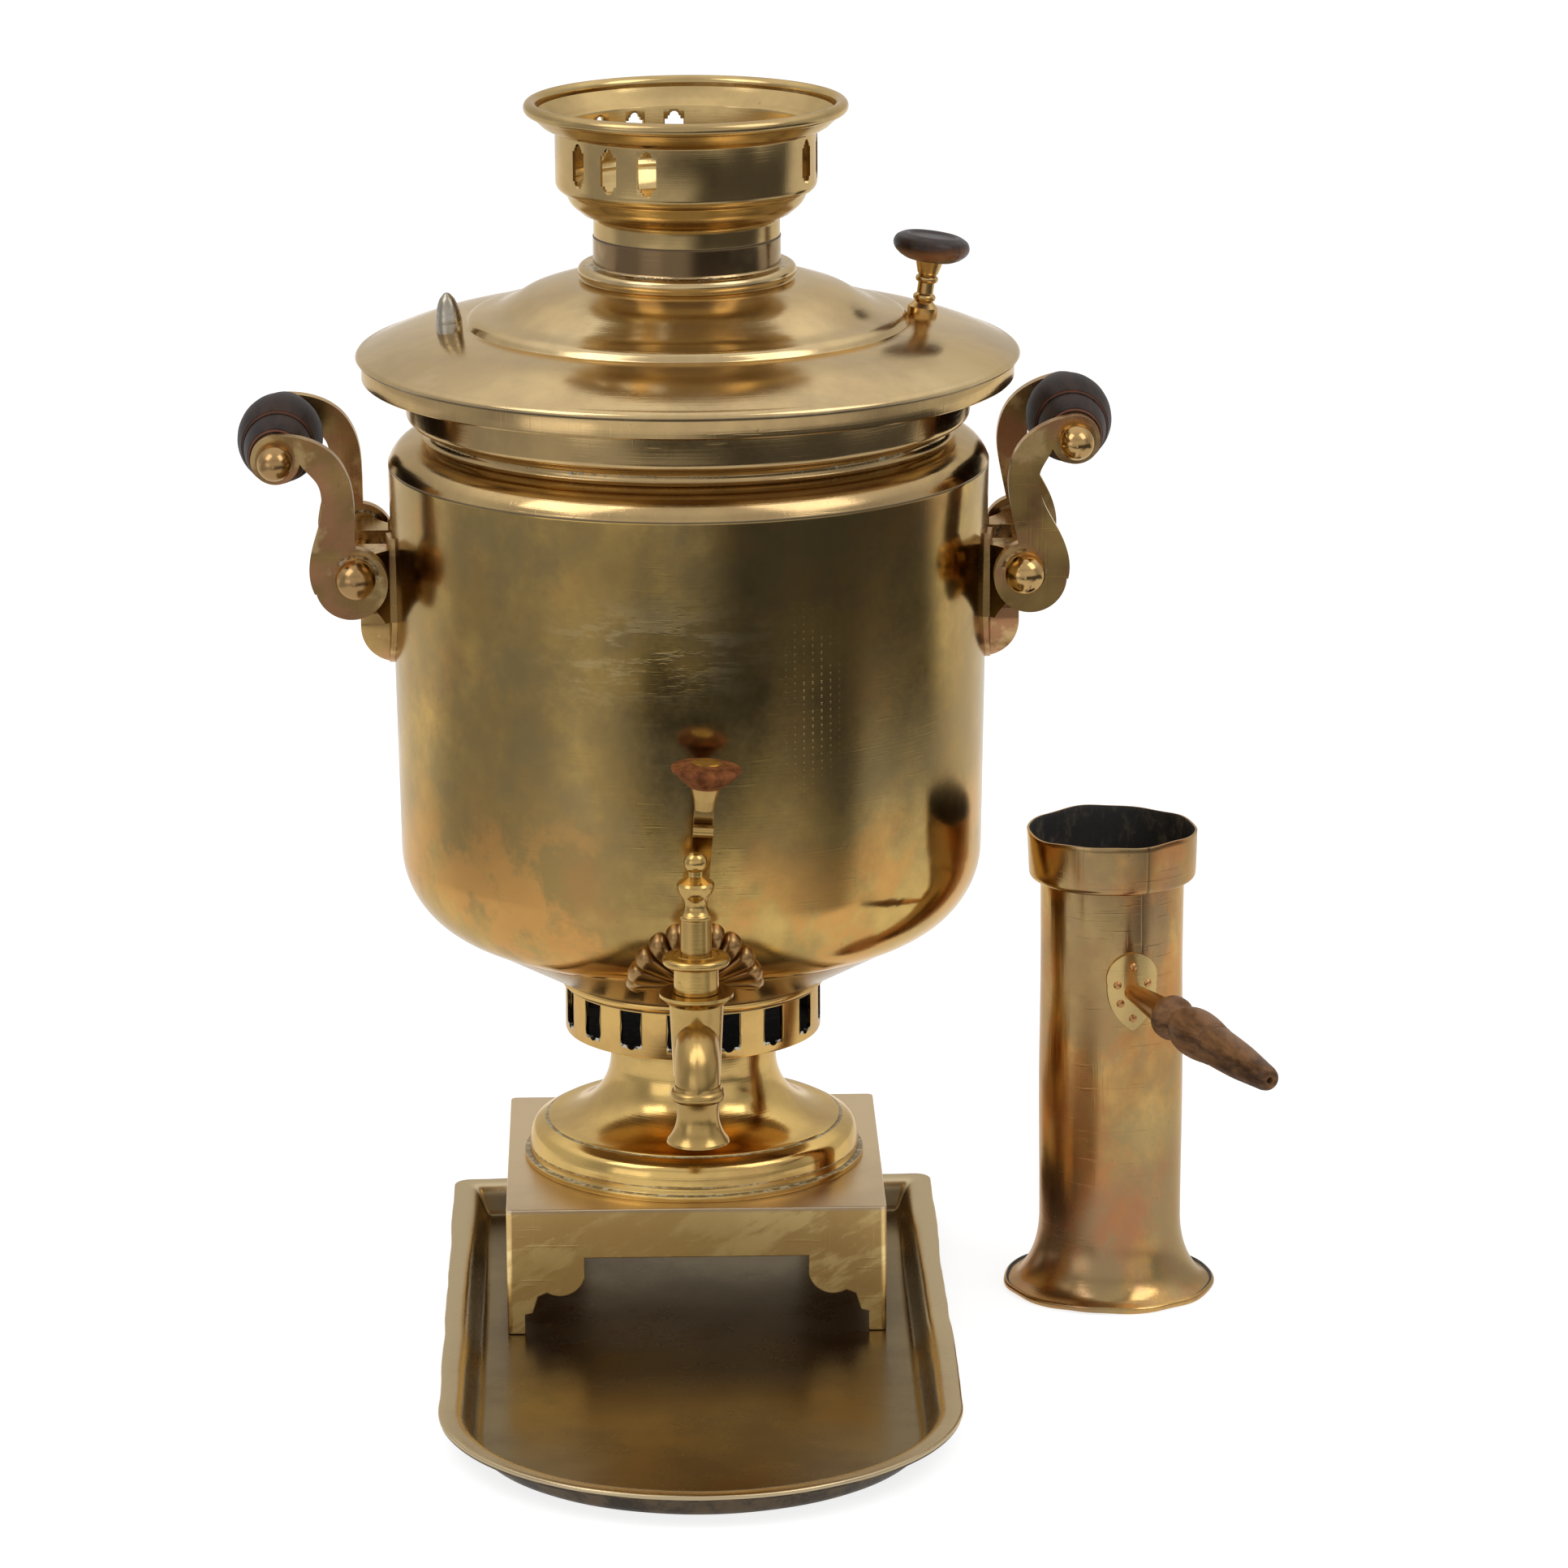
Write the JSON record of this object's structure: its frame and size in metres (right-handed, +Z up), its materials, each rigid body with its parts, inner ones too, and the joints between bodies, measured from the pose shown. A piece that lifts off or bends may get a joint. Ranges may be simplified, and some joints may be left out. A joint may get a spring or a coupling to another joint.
{
  "type": "samovar",
  "caption": "Charcoal samovar in brass: cylindrical body on a pierced vent ring, pedestal and square base, lid with crown, key tap, hinged handles, drip tray and loose chimney pipe",
  "frame": {"origin": "on the samovar's upright axis, at table level under the drip tray", "axes": "+Z up; the tap and the round end of the tray face -Y; the chimney pipe stands on the +X side"},
  "size_m": [0.4162, 0.4389, 0.5012],
  "materials": {
    "aged_brass": "aged and mottled, half polished",
    "tray_brass": "dull, darkened",
    "cast_brass": "cast, worn smooth",
    "tap_brass": "polished by use",
    "pipe_brass": "aged, heat stained",
    "copper_brass": "copper brown",
    "tinned_iron": "sooty",
    "steel_rod": "dull",
    "dark_wood": "black stained, polished",
    "red_wood": "worn varnish",
    "walnut": "worn varnish"
  },
  "bodies": {
    "tray": {"drip_tray": "tray_brass"},
    "samovar": {"base_plinth": "aged_brass", "pedestal": "aged_brass", "vent_ring": "aged_brass", "fire_grate": "tinned_iron", "body_wall": "aged_brass", "neck_ring": "aged_brass", "fire_tube": "tinned_iron", "tap_shell": "cast_brass", "tap_body": "tap_brass", "handle_bracket_left": "cast_brass", "handle_bracket_right": "cast_brass", "pivot_rod_left": "steel_rod", "pivot_rod_right": "steel_rod", "pivot_balls_left": "cast_brass", "pivot_balls_right": "cast_brass"},
    "lid": {"lid_cover": "aged_brass", "knob_stem": "cast_brass", "lid_knob": "dark_wood", "stud_cap": "steel_rod", "lid_nuts": "steel_rod"},
    "crown": {"crown": "aged_brass"},
    "tap_key": {"tap_plug": "tap_brass", "tap_lever": "tap_brass", "lever_ferrule": "tap_brass", "tap_knob": "red_wood", "knob_inlay": "tap_brass"},
    "handle_left": {"arm_front_left": "cast_brass", "arm_rear_left": "cast_brass", "grip_rod_left": "steel_rod", "rod_balls_left": "cast_brass"},
    "handle_right": {"arm_front_right": "cast_brass", "arm_rear_right": "cast_brass", "grip_rod_right": "steel_rod", "rod_balls_right": "cast_brass"},
    "grip_left": {"grip_left": "dark_wood"},
    "grip_right": {"grip_right": "dark_wood"},
    "chimney": {"pipe_tube": "pipe_brass", "pipe_hood": "pipe_brass", "handle_leaf": "tap_brass", "leaf_rivets": "copper_brass", "handle_socket": "copper_brass", "handle_tang": "steel_rod", "pipe_handle": "walnut"}
  },
  "joints": [
    {"name": "samovar_lift", "type": "slide", "parent": "tray", "child": "samovar", "axis": [0, 0, 1], "range_m": [0, 0.1]},
    {"name": "lid_lift", "type": "slide", "parent": "samovar", "child": "lid", "axis": [0, 0, 1], "range_m": [0, 0.12]},
    {"name": "crown_lift", "type": "slide", "parent": "lid", "child": "crown", "axis": [0, 0, 1], "range_m": [0, 0.06]},
    {"name": "tap_turn", "type": "hinge", "parent": "samovar", "child": "tap_key", "pos_m": [0, -0.148, 0.1519], "axis": [0, 0, 1], "continuous": true},
    {"name": "handle_left_swing", "type": "hinge", "parent": "samovar", "child": "handle_left", "pos_m": [-0.13544, 0, 0.3144], "axis": [0, 1, 0], "range_deg": [-16.9, 15.1]},
    {"name": "handle_right_swing", "type": "hinge", "parent": "samovar", "child": "handle_right", "pos_m": [0.13544, 0, 0.3144], "axis": [0, 1, 0], "range_deg": [-2.8, 29.2]},
    {"name": "grip_left_turn", "type": "hinge", "parent": "handle_left", "child": "grip_left", "pos_m": [-0.16706, 0, 0.3629], "axis": [0, 1, 0], "continuous": true},
    {"name": "grip_right_turn", "type": "hinge", "parent": "handle_right", "child": "grip_right", "pos_m": [0.156, 0, 0.36853], "axis": [0, 1, 0], "continuous": true},
    {"name": "chimney_lift", "type": "slide", "parent": "tray", "child": "chimney", "axis": [0, 0, 1], "range_m": [0, 0.085]}
  ]
}
